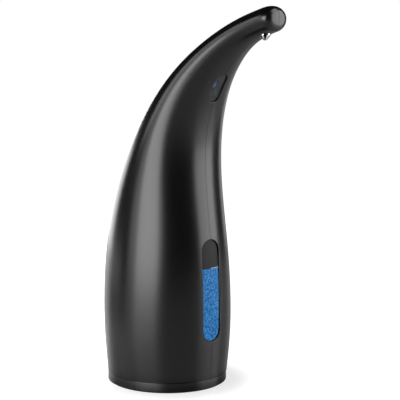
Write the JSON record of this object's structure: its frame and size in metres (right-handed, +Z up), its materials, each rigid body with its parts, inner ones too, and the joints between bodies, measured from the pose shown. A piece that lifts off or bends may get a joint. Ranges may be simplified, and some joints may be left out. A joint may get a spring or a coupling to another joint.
{
  "type": "automatic soap dispenser",
  "caption": "Swan-necked automatic soap dispenser in satin black, with a chrome nozzle, an infrared sensor, a soap level window, a gear pump and a twist-off base over its batteries.",
  "frame": {"origin": "middle of the base, on the surface that the dispenser stands on", "axes": "+X towards the spout, +Y to the dispenser's left, +Z up"},
  "size_m": [0.1381, 0.0874, 0.2476],
  "materials": {
    "satin_black": "satin moulded ABS",
    "gloss_black": "polished moulded ABS",
    "button_grey": "fine satin",
    "clear_window": "clear polished polycarbonate, faintly smoked",
    "smoked_lens": "dark smoked polycarbonate that passes infrared",
    "chrome": "bright plating on a turned brass body",
    "silicone": "milky silicone rubber",
    "natural_plastic": "natural acetal",
    "tank_plastic": "translucent blow-moulded polypropylene",
    "blue_soap": "clear blue liquid",
    "steel": "plated steel",
    "brass": "turned and hobbed brass",
    "black_plastic": "matt moulded ABS",
    "cell_sleeve": "printed sleeve on a steel can",
    "nickel_contact": "nickel-plated spring steel",
    "circuit_board": "green solder mask on glass laminate",
    "emitter_plastic": "cast clear epoxy",
    "receiver_plastic": "cast black epoxy",
    "blue_indicator": "cast blue epoxy",
    "switch_plastic": "matt",
    "black_rubber": "matt moulded rubber",
    "red_wire": "PVC cover",
    "black_wire": "PVC cover"
  },
  "bodies": {
    "housing": {"left_shell": "satin_black", "right_shell": "satin_black", "control_bezel": "gloss_black", "level_window": "clear_window", "sensor_lens": "smoked_lens", "nozzle": "chrome", "nozzle_valve": "silicone", "delivery_tube": "silicone", "inlet_tube": "silicone", "nozzle_holder": "natural_plastic", "pump_housing": "natural_plastic", "pump_cover": "natural_plastic", "motor_end_cap": "natural_plastic", "soap_tank": "tank_plastic", "liquid_soap": "blue_soap", "motor_can": "steel", "idler_pin": "steel", "tray_screw_1": "steel", "tray_screw_2": "steel", "tray_screw_3": "steel", "tray_screw_4": "steel", "pump_screw_1": "steel", "pump_screw_2": "steel", "battery_tray": "black_plastic", "motor_bracket": "black_plastic", "battery_cell_1": "cell_sleeve", "battery_cell_2": "cell_sleeve", "battery_cell_3": "cell_sleeve", "battery_cell_4": "cell_sleeve", "bridge_contact_1": "nickel_contact", "bridge_contact_2": "nickel_contact", "bridge_contact_3": "nickel_contact", "positive_terminal": "nickel_contact", "negative_terminal": "nickel_contact", "sensor_board": "circuit_board", "control_board": "circuit_board", "ir_emitter": "emitter_plastic", "ir_receiver": "receiver_plastic", "status_led": "blue_indicator", "plus_switch": "switch_plastic", "minus_switch": "switch_plastic", "battery_lead_red": "red_wire", "motor_lead_red": "red_wire", "battery_lead_black": "black_wire", "motor_lead_black": "black_wire", "sensor_cable": "black_wire"},
    "base": {"base_cover": "satin_black", "foot_pad": "black_rubber", "base_seal": "black_rubber"},
    "cap": {"filler_cap": "satin_black", "cap_seal": "black_rubber"},
    "plus_key": {"plus_button": "button_grey"},
    "minus_key": {"minus_button": "button_grey"},
    "motor_rotor": {"motor_shaft": "steel", "motor_pinion": "brass"},
    "pump_drive": {"pump_drive_shaft": "steel", "spur_gear": "natural_plastic", "drive_rotor": "natural_plastic"},
    "pump_idler": {"idler_rotor": "natural_plastic"}
  },
  "joints": [
    {"name": "base_twist", "type": "hinge", "parent": "housing", "child": "base", "pos_m": [0, 0, 0], "axis": [0, 0, 1], "range_deg": [0, 30]},
    {"name": "filler_cap_lift", "type": "slide", "parent": "housing", "child": "cap", "axis": [-0.8367, 0, 0.5476], "range_m": [0, 0.022]},
    {"name": "plus_press", "type": "slide", "parent": "housing", "child": "plus_key", "axis": [0.9707, 0, -0.2405], "range_m": [0, 0.0008], "stiffness_N_per_m": 400, "springref_m": -0.002},
    {"name": "minus_press", "type": "slide", "parent": "housing", "child": "minus_key", "axis": [0.9707, 0, -0.2405], "range_m": [0, 0.0008], "stiffness_N_per_m": 400, "springref_m": -0.002},
    {"name": "pump_drive_spin", "type": "hinge", "parent": "housing", "child": "pump_drive", "pos_m": [-0.013, 0, 0.05], "axis": [0, 1, 0], "continuous": true},
    {"name": "motor_spin", "type": "hinge", "parent": "housing", "child": "motor_rotor", "pos_m": [-0.013, 0, 0.038], "axis": [0, 1, 0], "continuous": true},
    {"name": "pump_idler_spin", "type": "hinge", "parent": "housing", "child": "pump_idler", "pos_m": [-0.025, 0, 0.05], "axis": [0, 1, 0], "continuous": true}
  ],
  "couplings": [
    {"joint": "motor_spin", "follows": "pump_drive_spin", "ratio": -3},
    {"joint": "pump_idler_spin", "follows": "pump_drive_spin", "ratio": -1}
  ]
}
